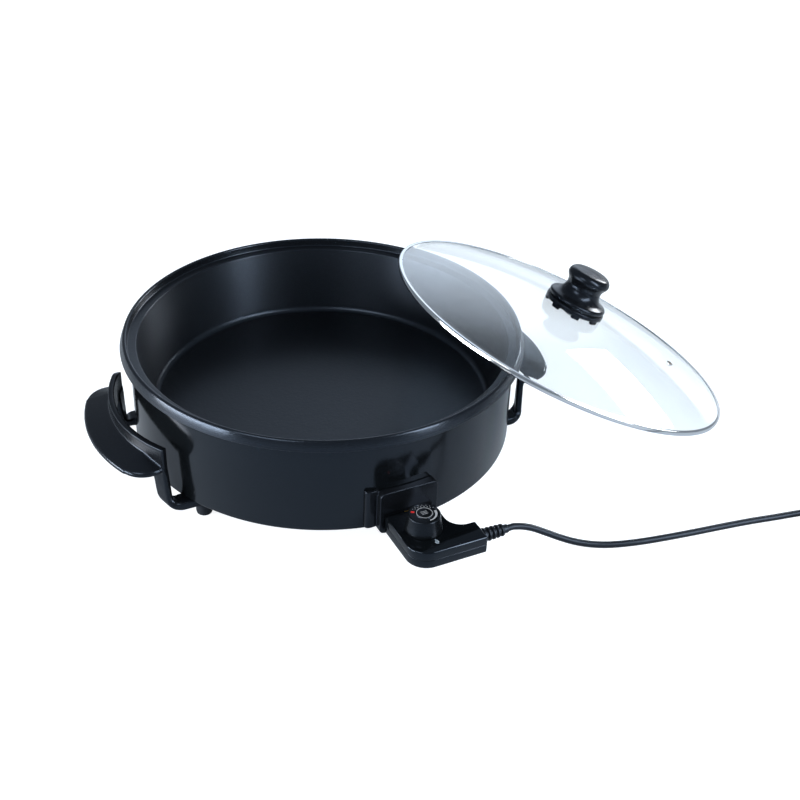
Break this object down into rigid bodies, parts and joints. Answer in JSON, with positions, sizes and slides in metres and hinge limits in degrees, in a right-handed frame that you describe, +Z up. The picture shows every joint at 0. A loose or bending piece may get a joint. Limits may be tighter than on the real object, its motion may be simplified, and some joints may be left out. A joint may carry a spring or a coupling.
{
  "type": "electric pizza pan",
  "caption": "Deep round electric pizza pan with side handles, a plug-in dial thermostat on a mains cord and a loose domed glass lid leaning on the rim.",
  "frame": {"origin": "on the pan's axis at the worktop, midway between the feet", "axes": "+Z up along the pan's axis, -Y towards the thermostat, X along the line of the two handles"},
  "size_m": [0.803, 0.6179, 0.1601],
  "materials": {
    "coated_pan": "satin",
    "casing": "gloss",
    "steel": "satin",
    "brass": "satin",
    "ceramic": "matte",
    "handle_plastic": "satin",
    "gloss_plastic": "gloss",
    "switch": "matte",
    "dial_face": "satin",
    "lens": "gloss",
    "rubber": "matte",
    "tie": "matte",
    "glass": "gloss",
    "band": "polished"
  },
  "bodies": {
    "pan": {"cooking_pan": "coated_pan", "outer_casing": "casing", "base_plate": "steel", "centre_bolt": "steel", "heating_element": "steel", "probe_socket": "steel", "terminal_pin_left": "brass", "terminal_pin_right": "brass", "terminal_collar_left": "ceramic", "terminal_collar_right": "ceramic", "socket_guard": "gloss_plastic", "guard_screw_left": "steel", "guard_screw_right": "steel", "earth_blade": "brass", "handle_left": "handle_plastic", "handle_right": "handle_plastic", "handle_screw_front_left": "steel", "handle_screw_front_right": "steel", "handle_screw_rear_left": "steel", "handle_screw_rear_right": "steel", "foot_front_left": "rubber", "foot_front_right": "rubber", "foot_rear_left": "rubber", "foot_rear_right": "rubber"},
    "control": {"housing_lower": "gloss_plastic", "housing_upper": "gloss_plastic", "control_nose": "gloss_plastic", "contact_sleeve_left": "brass", "contact_sleeve_right": "brass", "probe_rod": "steel", "thermostat_switch": "switch", "pilot_lens": "lens", "housing_screw_1": "steel", "housing_screw_2": "steel", "housing_screw_3": "steel", "strain_relief": "rubber", "cord_free": "rubber", "cord_coil": "rubber", "cord_tail": "rubber", "cord_tie": "tie", "plug_body": "rubber", "plug_pin_left": "steel", "plug_pin_right": "steel", "plug_earth_left": "steel", "plug_earth_right": "steel"},
    "dial": {"dial": "gloss_plastic", "dial_face": "dial_face", "dial_spindle": "gloss_plastic"},
    "lid": {"lid_glass": "glass", "lid_band": "band", "knob_collar": "handle_plastic", "lid_knob": "handle_plastic", "knob_screw": "steel", "knob_washer": "steel", "vent_eyelet": "steel"}
  },
  "joints": [
    {"name": "thermostat_slide", "type": "slide", "parent": "pan", "child": "control", "axis": [0, -1, 0], "range_m": [0, 0.08]},
    {"name": "dial_turn", "type": "hinge", "parent": "control", "child": "dial", "pos_m": [0, -0.23, 0.05], "axis": [0, 0, -1], "range_deg": [0, 270]},
    {"name": "lid_lift", "type": "slide", "parent": "pan", "child": "lid", "axis": [0, 0, 1], "range_m": [0, 0.15]}
  ]
}
